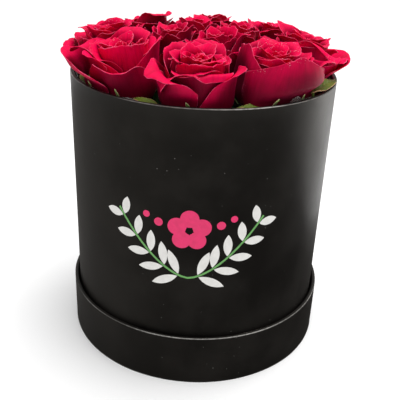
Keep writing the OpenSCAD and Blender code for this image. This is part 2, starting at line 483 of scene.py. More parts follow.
@dataclass(frozen=True)
class LeafFinish:
    """Rose leaf or sepal: green with paler veins and a light edge."""

    name: str
    green: Colour
    dark: Colour
    vein: Colour
    edge: Colour
    under: Colour
    pairs: float

    def build(self) -> bpy.types.Material:
        """Makes the finish.

        Returns:
            The material.
        """
        g = Graph(self.name)
        place, uv = g.place(), g.uv()
        across, along, _ = g.parts(uv)
        side = g.math("ABSOLUTE", g.math("SUBTRACT", across, 0.5))
        rib = g.step(side, 0.012, 0.035, 1.0, 0.0)
        slant = g.math("SUBTRACT", g.math("MULTIPLY", along, self.pairs), g.math("MULTIPLY", side, 4.0))
        ribs = g.step(g.math("PINGPONG", slant, 0.5), 0.0, 0.09, 1.0, 0.0)
        veins = g.math("MAXIMUM", rib, g.math("MULTIPLY", ribs, 0.7))
        clouds = g.noise(place, 160.0, 4.0, 0.6)
        web = g.step(g.cells(place, 900.0), 0.2, 0.6)
        shade = g.mix(g.step(clouds, 0.3, 0.7), self.dark, self.green)
        shade = g.mix(g.math("MULTIPLY", web, 0.2), shade, self.dark)
        shade = g.mix(g.math("MULTIPLY", veins, 0.7), shade, self.vein)
        shade = g.mix(g.math("MULTIPLY", g.value("back"), 0.6), self.under, shade)
        uneven_rim = g.math("ADD", g.value("rim"), g.math("MULTIPLY", clouds, 0.3))
        shade = g.mix(g.step(uneven_rim, 0.85, 1.15, 0.0, 0.9), shade, self.edge)
        height = g.math("SUBTRACT", g.math("MULTIPLY", web, 0.35), veins)
        g.set(
            Base_Color=shade,
            Roughness=g.step(clouds, 0.3, 0.7, 0.38, 0.55),
            Normal=g.bump(height, 0.12),
            Specular_IOR_Level=0.25,
            Subsurface_Weight=0.08,
            Subsurface_Radius=(0.001, 0.002, 0.0005),
            Subsurface_Scale=0.5,
        )
        return g.material


@dataclass(frozen=True)
class StemFinish:
    """Green rose stem, streaked along its length, with brownish flecks."""

    name: str = "rose stem"
    green: Colour = (0.075, 0.17, 0.035)
    dark: Colour = (0.035, 0.085, 0.02)
    fleck: Colour = (0.20, 0.10, 0.05)

    def build(self) -> bpy.types.Material:
        """Makes the finish.

        Returns:
            The material.
        """
        g = Graph(self.name)
        place = g.place()
        streaks = g.noise(g.stretch(place, (1.0, 1.0, 0.06)), 1500.0, 3.0)
        clouds = g.noise(place, 90.0, 3.0)
        flecks = g.step(g.cells(place, 420.0), 0.12, 0.22, 1.0, 0.0)
        shade = g.mix(g.step(streaks, 0.35, 0.65), self.dark, self.green)
        shade = g.mix(g.math("MULTIPLY", flecks, g.step(clouds, 0.45, 0.6)), shade, self.fleck)
        g.set(
            Base_Color=shade,
            Roughness=g.step(clouds, 0.3, 0.7, 0.40, 0.55),
            Normal=g.bump(g.math("ADD", streaks, flecks), 0.12),
        )
        return g.material


@dataclass(frozen=True)
class WrapFinish:
    """Satin black laminated paper, with a faint fibre, dust and scuffs, and a painted highlight that makes
    its rounded rim corners paler.

    Each corner is a radius and a height in millimetres.
    """

    name: str = "black wrap"
    ink: Colour = (0.0062, 0.0055, 0.0050)
    haze: Colour = (0.0125, 0.0112, 0.0100)
    worn_and_rim_glint: Colour = (0.50, 0.485, 0.46)
    glance: Colour = (1.0, 0.94, 0.84)
    corners: tuple[tuple[float, float], ...] = ((90.0, 194.0), (87.4, 194.0), (94.0, 37.0))
    reach: float = 0.70

    def build(self) -> bpy.types.Material:
        """Makes the finish.

        Returns:
            The material.
        """
        g = Graph(self.name)
        place = g.place()
        x, y, height = g.parts(place)
        radius = g.math("POWER", g.math("ADD", g.math("MULTIPLY", x, x), g.math("MULTIPLY", y, y)), 0.5)
        clouds = g.noise(place, 22.0, 4.0, 0.6)
        fibre = g.noise(g.stretch(place, (1.0, 1.0, 0.35)), 2600.0, 3.0, 0.6)
        shade = g.mix(g.step(clouds, 0.35, 0.7), self.ink, self.haze)
        dust = g.step(g.cells(place, 210.0), 0.035, 0.06, 1.0, 0.0)
        dust = g.math("MULTIPLY", dust, g.step(g.noise(place, 60.0, 1.0), 0.52, 0.62))
        scratch = g.noise(g.stretch(place, (1.0, 1.0, 5.0)), 160.0, 5.0, 0.7)
        scuff = g.math("MULTIPLY", g.step(scratch, 0.69, 0.74), 0.06)
        wear_and_rim_glint: Socket = g.math("MAXIMUM", g.math("MULTIPLY", dust, 0.5), scuff)
        ragged = g.step(g.noise(place, 420.0, 3.0), 0.30, 0.62, 0.45, 0.9)
        # Painted highlight: a pale ragged line along each rounded rim, where the rim catches light; the
        # dust and scuffs above are real marks
        for corner_r, level in self.corners:
            aside = g.math("ABSOLUTE", g.math("SUBTRACT", radius, corner_r * MM))
            away = g.math("ADD", aside, g.math("ABSOLUTE", g.math("SUBTRACT", height, level * MM)))
            rim_glint_band = g.step(away, 0.25 * self.reach * MM, self.reach * MM, 1.0, 0.0)
            wear_and_rim_glint = g.math("MAXIMUM", wear_and_rim_glint, g.math("MULTIPLY", rim_glint_band, ragged))
        shade = g.mix(wear_and_rim_glint, shade, self.worn_and_rim_glint)
        bumpy = g.math("ADD", g.math("MULTIPLY", fibre, 0.5), g.noise(place, 120.0, 2.0))
        g.set(
            Base_Color=shade,
            Roughness=g.step(clouds, 0.3, 0.75, 0.36, 0.47),
            Normal=g.bump(bumpy, 0.035),
            Specular_IOR_Level=0.26,
            Specular_Tint=self.glance,
        )
        return g.material


@dataclass(frozen=True)
class FibreFinish:
    """Board or lining paper: matt, with flecks and a felt-like fibre."""

    name: str
    base: Colour
    fleck: Colour
    fibre_scale: float = 1300.0
    depth: float = 0.06

    def build(self) -> bpy.types.Material:
        """Makes the finish.

        Returns:
            The material.
        """
        g = Graph(self.name)
        place = g.place()
        fibre = g.noise(g.stretch(place, (1.0, 1.0, 0.4)), self.fibre_scale, 4.0, 0.65)
        flecks = g.step(g.cells(place, 500.0), 0.1, 0.2, 1.0, 0.0)
        flecks = g.math("MULTIPLY", flecks, g.step(g.noise(place, 80.0), 0.5, 0.6, 0.0, 0.6))
        shade = g.mix(g.step(fibre, 0.35, 0.7, 0.0, 0.35), self.base, self.fleck)
        shade = g.mix(flecks, shade, self.fleck)
        g.set(Base_Color=shade, Roughness=0.85, Normal=g.bump(fibre, self.depth))
        return g.material


@dataclass(frozen=True)
class FoamFinish:
    """Wet floral foam: dark green, finely porous, with crumbs, darker soaked patches and painted shade in
    its pores.
    """

    name: str = "wet foam"
    green: Colour = (0.030, 0.095, 0.038)
    damp_and_pore_shade: Colour = (0.010, 0.035, 0.014)

    def build(self) -> bpy.types.Material:
        """Makes the finish.

        Returns:
            The material.
        """
        g = Graph(self.name)
        place = g.place()
        pores = g.cells(place, 1500.0)
        large = g.cells(place, 420.0)
        clouds = g.noise(place, 45.0, 4.0, 0.6)
        shade = g.mix(g.step(clouds, 0.35, 0.65), self.damp_and_pore_shade, self.green)
        # Painted shade: the pores, pits in the bump, are darkened
        shade = g.mix(g.step(pores, 0.1, 0.4, 0.75, 0.0), shade, self.damp_and_pore_shade)
        height = g.math("ADD", pores, g.math("MULTIPLY", large, 0.8))
        g.set(
            Base_Color=shade,
            Roughness=g.step(clouds, 0.35, 0.65, 0.5, 0.9),
            Normal=g.bump(height, 0.5),
        )
        return g.material


@dataclass(frozen=True)
class FilmFinish:
    """Clear crinkled film, half seen through, with a painted highlight that whitens it along its creases.
    """

    name: str = "clear film"
    tint: Colour = (0.46, 0.46, 0.43)
    crease_glint: Colour = (0.90, 0.93, 0.92)

    def build(self) -> bpy.types.Material:
        """Makes the finish.

        Returns:
            The material.
        """
        g = Graph(self.name)
        place = g.place()
        folds = g.noise(place, 130.0, 4.0, 0.6)
        creases = g.math("ABSOLUTE", g.math("SUBTRACT", g.noise(place, 75.0, 2.0, 0.4), 0.5))
        creases = g.step(creases, 0.0, 0.03, 1.0, 0.0)
        height = g.math("ADD", folds, g.math("MULTIPLY", creases, 0.6))
        # Painted highlight: near white along the creases, for their glints
        shade = g.mix(creases, self.tint, self.crease_glint)
        g.set(Base_Color=shade, Roughness=0.14, Alpha=0.17, Normal=g.bump(height, 0.6))
        return g.material


@dataclass(frozen=True)
class InkFinish:
    """Thin printed vinyl: one glossy colour with a faint orange peel and a mottle."""

    name: str
    colour: Colour
    shade: Colour

    def build(self) -> bpy.types.Material:
        """Makes the finish.

        Returns:
            The material.
        """
        g = Graph(self.name)
        place = g.place()
        clouds = g.noise(place, 260.0, 3.0)
        peel = g.noise(place, 900.0, 2.0)
        g.set(
            Base_Color=g.mix(g.step(clouds, 0.35, 0.7, 0.0, 0.35), self.colour, self.shade),
            Roughness=g.step(clouds, 0.3, 0.7, 0.28, 0.40),
            Normal=g.bump(peel, 0.02),
        )
        return g.material


@dataclass(frozen=True)
class FloorFinish:
    """Plain pale studio floor, matt, with a trace of tone."""

    name: str = "studio floor"
    pale: Colour = (0.93, 0.93, 0.93)

    def build(self) -> bpy.types.Material:
        """Makes the finish.

        Returns:
            The material.
        """
        g = Graph(self.name)
        grey = tuple(0.97 * part for part in self.pale)
        drift = g.step(g.noise(g.place(), 1.5, 2.0), 0.3, 0.7)
        g.set(Base_Color=g.mix(drift, self.pale, grey), Roughness=0.75, Specular_IOR_Level=0.2)
        return g.material


# ---------------------------------------------------------------- roses


@dataclass
class Wall:
    """The wavy wall between two pressed roses. Both share it and stay on their own side."""

    normal: tuple[float, float]
    offset: float
    wave: float
    phase: float
    side: float

    def press(self, points: Array, margin: float, gap: float) -> Array:
        """Squeezes points to this side of the wall.

        The wall stands at offset + wave * (a sine of the height and the distance along it)
        from the axis, measured along its normal, with waves that fade below the rim.

        Args:
            points: points in millimetres in the row frame.
            margin: distance at which petals start to give way.
            gap: distance left at the wall.

        Returns:
            The squeezed points.
        """
        nx, ny = self.normal
        reach = points[..., 0] * nx + points[..., 1] * ny
        run = points[..., 1] * nx - points[..., 0] * ny
        ripple = np.sin(0.17 * points[..., 2] + self.phase) + np.sin(0.13 * run + 2.0 * self.phase)
        stand = self.offset + self.wave * ripple * smooth(190.0, 206.0, points[..., 2])
        inside = self.side * (stand - reach)
        move = self.side * (inside - soft_limit(inside, margin, gap))
        pressed = points.copy()
        pressed[..., 0] += move * nx
        pressed[..., 1] += move * ny
        return pressed


@dataclass
class Petal:
    """One petal, as the numbers that shape it. Angles are in degrees, lengths in millimetres.

    Attributes:
        turn: where it faces about the head's axis, 0 being outwards from the box.
        lip_r: radius of its highest point.
        lip_z: height of its highest point above the neck.
        length: length from claw to lip.
        half: half of the angle that it wraps round the head.
        base_r: radius of its claw.
        base_z: height of its claw.
        start: slope at the claw.
        wall: slope of its side.
        top: slope just below the lip.
        flat: share of its length where the belly starts.
        belly: share of its length where the belly ends.
        lip: share of its length that rolls outwards.
        curl: how far the lip rolls.
        tip_curl: share of the roll that reaches the tip.
        skew: where the tip stands across it, from -1 to 1.
        drop: how much shorter it is at its sides.
        roundness: power of that outline, higher for squarer shoulders.
        cusp: strength of the small point at the tip.
        spiral: how much one side stands further out than the other.
        twist: turn from claw to lip, in radians.
        wave: size of its long waves.
        ruffle: size of the frills of its rim.
        phase: where its waves start.
        tone: how much painted light its colour takes, about 1 in the heart and less outside; a low tone
            gives it painted shade instead.
        share: its place in the head, 0 at the heart and 1 outside.
    """

    turn: float
    lip_r: float
    lip_z: float
    length: float
    half: float
    base_r: float
    base_z: float
    start: float
    wall: float
    top: float
    flat: float
    belly: float
    lip: float
    curl: float
    tip_curl: float
    skew: float
    drop: float
    roundness: float
    cusp: float
    spiral: float
    twist: float
    wave: float
    ruffle: float
    phase: tuple[float, float, float, float]
    tone: float
    share: float

    def surface(self, columns: int, rows: int) -> tuple[Array, Array, Array, Array]:
        """Middle surface of the petal.

        The centre line starts at the claw and is the running sum of its slope, which goes
        from start to wall over the belly, then to top, and turns over outwards in the lip.
        Each column follows that line for the share of the length that the outline leaves
        it, at an angle about the head's axis that grows with the petal's width there.

        Args:
            columns: points across.
            rows: points from claw to lip.

        Returns:
            Points, places across (-1 to 1), places along (0 to 1), and closeness to the rim.
        """
        across = np.linspace(-1.0, 1.0, columns)[None, :]
        along = 1.0 - (1.0 - np.linspace(0.0, 1.0, rows)[:, None]) ** 1.45
        a, b, c, d = self.phase
        point = self.cusp * np.exp(-((across - self.skew) / 0.13) ** 2)
        outline = 1.0 - self.drop * np.abs(across) ** self.roundness + 0.05 * point
        travel = along * outline
        turned = self.tip_curl + (1.0 - self.tip_curl) * smooth(0.0, 0.8, abs(across - self.skew))
        turned = turned * (1.0 + 0.25 * np.sin(4.0 * across + a))
        slope = self.start + (self.wall - self.start) * smooth(self.flat, self.belly, travel)
        slope = slope + (self.top - self.wall) * smooth(self.belly, 1.0, travel)
        begin = 1.0 - self.lip * (0.85 + 0.3 * np.sin(2.6 * across + b))
        slope = slope - self.curl * turned * smooth(begin, 1.02, travel)
        slope = np.radians(slope)
        run = np.diff(travel, axis=0, prepend=0.0) * self.length
        out = self.base_r + np.cumsum(np.cos(slope) * run, axis=0)
        up = self.base_z + np.cumsum(np.sin(slope) * run, axis=0)
        middle = columns // 2
        peak = int(np.argmax(up[:, middle]))
        spread = (self.lip_r - self.base_r) / max(out[peak, middle] - self.base_r, 1.0)
        out = self.base_r + (out - self.base_r) * min(max(spread, 0.6), 1.5)
        stretch = (self.lip_z - self.base_z) / (up[peak, middle] - self.base_z)
        up = self.base_z + (up - self.base_z) * min(max(stretch, 0.7), 1.3)
        width = math.radians(self.half) * (0.32 + 0.68 * np.clip(travel / 0.5, 0.0, 1.0) ** 0.6)
        width = width * (1.0 - 0.12 * smooth(0.72, 1.0, travel))
        turn = math.radians(self.turn) + across * width + self.twist * travel
        out = out + self.spiral * across * (0.25 + 0.75 * travel)
        loose = smooth(0.4, 1.0, travel)
        out = out + loose * self.wave * (np.sin(2.8 * across + a) + 0.5 * np.sin(6.1 * across + b))
        up = up + loose * self.wave * 0.6 * np.sin(4.7 * across + c)
        frill = smooth(0.8, 1.0, travel) * self.ruffle
        out = out + frill * (0.4 * np.sin(15.0 * across + d) + 0.2 * np.sin(29.0 * across + a))
        up = up + frill * (0.35 * np.sin(19.0 * across + c) + 0.2 * np.sin(37.0 * across + b))
        points = np.stack([out * np.sin(turn), -out * np.cos(turn), up], axis=-1)
        to_tip = (1.0 - along) * outline * self.length
        to_side = (1.0 - np.abs(across)) * self.length * 0.5 * smooth(0.1, 0.5, along)
        to_side = to_side + 30.0 * (1.0 - smooth(0.2, 0.6, along))
        rim = np.exp(-np.minimum(to_tip, to_side) / 1.6)
        shape = travel.shape
        return points, np.broadcast_to(across, shape), np.broadcast_to(along, shape), rim


@dataclass
class Rose:
    """A rose head: petals wound round its heart, then fuller ones that roll at the lip.

    Its neck stands at a bearing, radius and height in the row frame, and it leans outwards by
    an angle in degrees. Accents are changes to single petals, by their place from the heart.
    Petals stay within a radius inside the film, and above a height they may bulge past it.
    """

    number: int
    angle: float
    neck_r: float
    neck_z: float
    lean: float
    size: float
    seed: int
    count: int = 25
    openness: float = 0.5
    walls: list[Wall] = field(default_factory=list)
    accents: dict[int, dict[str, float]] = field(default_factory=dict)
    tall: float = 1.0
    columns: int = 29
    rows: int = 24
    inside_r: float = 84.6
    bulge: float = 15.5
    bulge_z: float = 193.5
    bulge_h: float = 14.0

    def petals(self) -> list[Petal]:
        """The head's petals, each a little turned from the last.

        Returns:
            The petals from the heart outwards.
        """
        rng = np.random.default_rng(self.seed)
        turn = rng.uniform(0.0, 360.0)
        made: list[Petal] = []
        for k in range(self.count):
            t = k / (self.count - 1)
            turn += rng.normal(137.5, 5.0)

            def along(*values: float) -> float:
                """Value at this petal's place among evenly spaced ones."""
                return float(np.interp(t, np.linspace(0.0, 1.0, len(values)), values))

            open_ = self.openness
            made.append(
                Petal(
                    turn=turn,
                    lip_r=along(1.8, 5.5, 10.5, 16.5, 22.5, 28.0) * rng.normal(1.0, 0.05),
                    lip_z=self.tall * along(34.5, 36, 38, 37, 34, 29.5 - 2 * open_) + rng.normal(0.0, 1.0),
                    length=along(30, 34, 38, 42, 46, 48),
                    half=along(150, 120, 96, 78, 66, 60) * rng.normal(1.0, 0.06),
                    base_r=along(0.8, 4.0),
                    base_z=along(7.0, 0.5),
                    start=along(82, 65, 45, 20, 4),
                    wall=along(90, 89, 88, 88, 88),
                    top=along(97, 95, 90, 84, 76),
                    flat=along(0.0, 0.0, 0.16),
                    belly=along(0.35, 0.55),
                    lip=along(0.12, 0.16, 0.20, 0.24, 0.27),
                    curl=along(20, 50, 85, 120, 150) * rng.uniform(0.75, 1.25) * (0.75 + 0.5 * open_),
                    tip_curl=rng.uniform(0.35, 0.85),
                    skew=rng.normal(0.0, 0.12),
                    drop=along(0.12, 0.2, 0.3, 0.40) * rng.uniform(0.8, 1.2),
                    roundness=rng.uniform(1.6, 2.5),
                    cusp=rng.uniform(0.0, 1.3),
                    spiral=along(1.0, 1.1, 1.5),
                    twist=rng.normal(0.0, 0.06),
                    wave=along(0.15, 0.6, 1.3) * rng.uniform(0.5, 1.5),
                    ruffle=along(0.2, 0.6, 0.8) * rng.uniform(0.5, 1.5),
                    phase=tuple(rng.uniform(0.0, TAU, 4)),
                    tone=along(1.0, 0.7, 0.3) * rng.uniform(0.6, 1.4),
                    share=t,
                )
            )
        for which, changes in self.accents.items():
            made[which] = replace(made[which], **changes)
        return made

    def placed(self, points: Array) -> Array:
        """Carries points from the head's own axes to the row frame.

        Args:
            points: points about the head's axis, with the neck at the origin.

        Returns:
            The same points leaned outwards, moved to the neck and turned about the box's axis.
        """
        a, b = math.radians(self.lean), math.radians(self.angle)
        x = points[..., 0] * self.size
        y = points[..., 1] * self.size * math.cos(a) - points[..., 2] * math.sin(a)
        z = points[..., 1] * self.size * math.sin(a) + points[..., 2] * math.cos(a)
        y = y - self.neck_r
        return np.stack(
            [x * math.cos(b) - y * math.sin(b), x * math.sin(b) + y * math.cos(b), z + self.neck_z],
            axis=-1,
        )

    def pressed(self, points: Array, inwards: float) -> Array:
        """Squeezes points between the neighbours and inside the box's wall.

        Below the rim the radius is eased to stay inside the film. Above it petals may bulge
        over the rim, later where a leaf lies along it. A petal keeps a little further from the
        walls than the petals outside it, so that pressed petals stay apart.

        Args:
            points: points in the row frame.
            inwards: how far the petal is from the outermost one, from 0 to 1.

        Returns:
            The squeezed points.
        """
        extra = 15.0 * inwards
        for wall in self.walls:
            points = wall.press(points, 6.0 + 0.6 * extra, 0.25 + 0.6 * extra)
        radius = np.hypot(points[..., 0], points[..., 1])
        bearing = np.degrees(np.arctan2(points[..., 0], -points[..., 1]))
        low = self.bulge_z + leaf_lift(bearing)
        allowed = self.inside_r + self.bulge * smooth(low, low + self.bulge_h, points[..., 2])
        eased = allowed - soft_limit(allowed - radius, 5.0 + extra, 0.2 + extra)
        ratio = eased / np.maximum(radius, 1e-6)
        fixed = points.copy()
        fixed[..., 0] *= ratio
        fixed[..., 1] *= ratio
        return fixed

    def build(self, material: bpy.types.Material) -> None:
        """Makes the head as three whorls of petals.

        Args:
            material: the petals' finish.
        """
        shells: list[Surface] = []
        shares: list[float] = []
        for petal in self.petals():
            points, across, along, rim = petal.surface(self.columns, self.rows)
            points = self.pressed(self.placed(points), 1.0 - petal.share)
            uv = np.stack([across * 0.5 + 0.5, along], axis=-1)
            thickness = 0.75 - 0.42 * along
            values = {"rim": rim, "tone": np.full(rim.shape, petal.tone)}
            shells.append(thin_shell(points, thickness, uv, values))
            shares.append(petal.share)
        whorls = (("heart", -1.0, 0.3), ("middle", 0.3, 0.66), ("outer", 0.66, 2.0))
        for whorl, low, high in whorls:
            group = [shell for shell, share in zip(shells, shares) if low < share <= high]
            nodes = [f"rose_{self.number}_bloom"] if whorl == "outer" else []
            name = f"rose_{self.number}_{whorl}_petals"
            Surface.join(group).piece(name, material, Body.INSERT, "rose_petal", nodes)


def leaf_lift(bearing: Array) -> Array:
    """How much higher, in millimetres, petals start to bulge at a bearing where a leaf lies.

    It is the sum of smooth humps, each 5 mm high and about 12 degrees wide either way.

    Args:
        bearing: angles from the front, in degrees.

    Returns:
        The extra height at each bearing.
    """
    lift = np.zeros_like(bearing)
    for angle in Leaf.BEARINGS:
        away = (bearing - angle + 180.0) % 360.0 - 180.0
        lift = lift + 5.0 * np.exp(-((away / 9.0) ** 2))
    return lift


@dataclass
class Leaf:
    """A leaflet in a gap of the outer ring, on a stalk that drops inside the film.

    Lengths are in millimetres and angles in degrees. The blade leans in from its outer edge by
    the tilt at its middle, and its foot stands above the rim by the rise.
    """

    number: int
    bearing: float
    length: float
    width: float
    base_r: float
    tilt: float
    rise: float
    aside: float
    swing: float
    teeth: int = 13
    seed: int = 0

    # Bearings of the leaves that lie along the rim
    BEARINGS = (108.5, 63.5, -161.5, -71.5)

    def blade(self) -> Surface:
        """The blade: a toothed, veined sheet folded a little along its rib.

        Half its width is the width's half times a power of a sine of the place along it, plus
        teeth that grow like a saw. Across, the sheet rises away from the rib, sinks between
        side veins and ripples near its edge; along, it arches and droops at the tip.

        Returns:
            The blade, at a bearing of 0.
        """
        rng = np.random.default_rng(self.seed)
        across = np.linspace(-1.0, 1.0, 17)[None, :]
        along = np.linspace(0.0, 1.0, self.teeth * 6)[:, None]
        saw = (along * self.teeth) % 1.0
        half = 0.5 * self.width * np.sin(math.pi * along**0.8) ** 0.8 + 0.15
        half = half * (1.0 + 0.09 * saw * smooth(0.05, 0.2, along))
        a, b = rng.uniform(0.0, TAU, 2)
        x = self.length * along + 0.35 * half * np.abs(across)
        y = half * across
        rib = (along * self.teeth * 0.6 - 0.9 * np.abs(across)) % 1.0
        z = 0.18 * half * np.abs(across) ** 1.3 - 0.22 * np.exp(-((np.abs(rib - 0.5) / 0.14) ** 2))
        z = z + 0.5 * np.abs(across) ** 2 * np.sin(9.0 * along + a + across)
        z = z + 1.6 * np.sin(math.pi * along) - 1.2 * along**3
        lean = math.radians(self.tilt) * smooth(0.0, 0.35, along) * (1.0 - 0.4 * along)
        lean = lean + 0.12 * np.sin(4.0 * along + b)
        y, z = y * np.cos(lean) - z * np.sin(lean), y * np.sin(lean) + z * np.cos(lean)
        swing = math.radians(-self.swing)
        x, y = x * math.cos(swing) - y * math.sin(swing), x * math.sin(swing) + y * math.cos(swing)
        middle = np.stack(
            [x + self.aside - self.length / 2.0, y - self.base_r, z + RIM_Z + self.rise + 0.3],
            axis=-1,
        )
        edge = np.exp(-(1.0 - np.abs(across)) * half / 0.35)
        values = {"rim": np.broadcast_to(edge, x.shape), "tone": np.full(x.shape, 0.5)}
        uv = np.stack(np.broadcast_arrays(across * 0.5 + 0.5, along * np.ones_like(x)), axis=-1)
        return thin_shell(middle, np.full(x.shape, 0.45), uv, values)

    def stalk(self) -> Surface:
        """The stalk: a round rod down from the blade's foot, bent in to a rose's stem.

        Returns:
            The stalk, at a bearing of 0.
        """
        stem_x, stem_y = -22.4, -54.0
        swing = math.radians(self.swing)
        foot_x = 2.5 * math.cos(swing) + self.aside - self.length / 2.0
        foot_y = -self.base_r - 2.5 * math.sin(swing)
        top = RIM_Z + self.rise
        path = np.array(
            [
                [foot_x, foot_y, top + 0.5],
                [foot_x, foot_y, top - 9.0],
                [foot_x, foot_y + 0.4, top - 20.0],
                [foot_x - 0.5, foot_y + 3.0, top - 25.0],
                [0.5 * (foot_x + stem_x), 0.5 * (foot_y + stem_y), top - 26.6],
                [stem_x + 0.8, stem_y - 2.4, top - 27.4],
            ]
        )
        return rod(path, np.array([0.85, 0.7, 0.75, 0.8, 0.8, 0.95]), 10, 28)

    def build(self, material: bpy.types.Material) -> None:
        """Makes the leaf as one piece.

        Args:
            material: its finish.
        """
        whole = Surface.join([self.blade(), self.stalk()])
        turn = math.radians(self.bearing)
        x, y = whole.points[:, 0].copy(), whole.points[:, 1].copy()
        whole.points[:, 0] = x * math.cos(turn) - y * math.sin(turn)
        whole.points[:, 1] = x * math.sin(turn) + y * math.cos(turn)
        node = f"leaf_{self.number}"
        whole.piece(f"{node}_blade", material, Body.INSERT, "leaf_green", [node])


def rod(path: Array, radii: Array, sides: int, steps: int) -> Surface:
    """A round rod along a path, with closed ends.

    The path's points are joined by a smooth curve through them, and each ring stands square
    to the curve, on two directions taken from cross products with a fixed one. The end rings
    shrink and are closed with a strip of quads.

    Args:
        path: points in millimetres.
        radii: radius at each point.
        sides: sides of the ring, an even number.
        steps: rings along the rod.

    Returns:
        The closed surface.
    """
    knots = np.linspace(0.0, 1.0, len(path))
    t = np.linspace(0.0, 1.0, steps)
    line = np.stack([hermite(knots, path[:, k], t) for k in range(3)], axis=-1)
    ahead = np.gradient(line, axis=0)
    ahead /= np.linalg.norm(ahead, axis=1, keepdims=True)
    first = np.cross(ahead, np.array([0.31, 0.87, 0.38]))
    first /= np.linalg.norm(first, axis=1, keepdims=True)
    second = np.cross(ahead, first)
    size = np.interp(t, knots, radii) * np.where((t == 0.0) | (t == 1.0), 0.4, 1.0)
    turn = np.arange(sides) * TAU / sides
    ring = np.cos(turn)[None, :, None] * first[:, None] + np.sin(turn)[None, :, None] * second[:, None]
    points = line[:, None] + ring * size[:, None, None]
    index = np.arange(sides // 2 - 1)
    cap = np.stack([-index, index + 1, index + 2, -index - 1], axis=-1) % sides
    faces = np.concatenate(
        [grid_faces(steps, sides, wrap=True), cap[:, ::-1], cap + (steps - 1) * sides]
    )
    uv = np.stack(
        np.broadcast_arrays(turn[None, :] / TAU, t[:, None] * np.ones((1, sides))), axis=-1
    ).reshape(-1, 2)
    count = steps * sides
    return Surface(points.reshape(-1, 3), faces, uv, plain_values(count))


def plain_values(count: int) -> dict[str, Array]:
    """Values of a green part that has no rim and no back."""
    return {"rim": np.zeros(count), "tone": np.full(count, 0.5), "back": np.zeros(count)}


def hermite(knots: Array, values: Array, t: Array) -> Array:
    """A smooth curve through values at increasing knots.

    Between two knots it is the cubic with the values there and slopes that are the mean slopes
    of the neighbouring spans.

    Args:
        knots: increasing places.
        values: values at the knots.
        t: places to work out.

    Returns:
        The curve's values at t.
    """
    slopes = np.gradient(values, knots)
    span = np.clip(np.searchsorted(knots, t, side="right") - 1, 0, len(knots) - 2)
    width = knots[span + 1] - knots[span]
    u = (t - knots[span]) / width
    return (
        (2.0 * u**3 - 3.0 * u**2 + 1.0) * values[span]
        + (u**3 - 2.0 * u**2 + u) * width * slopes[span]
        + (3.0 * u**2 - 2.0 * u**3) * values[span + 1]
        + (u**3 - u**2) * width * slopes[span + 1]
    )


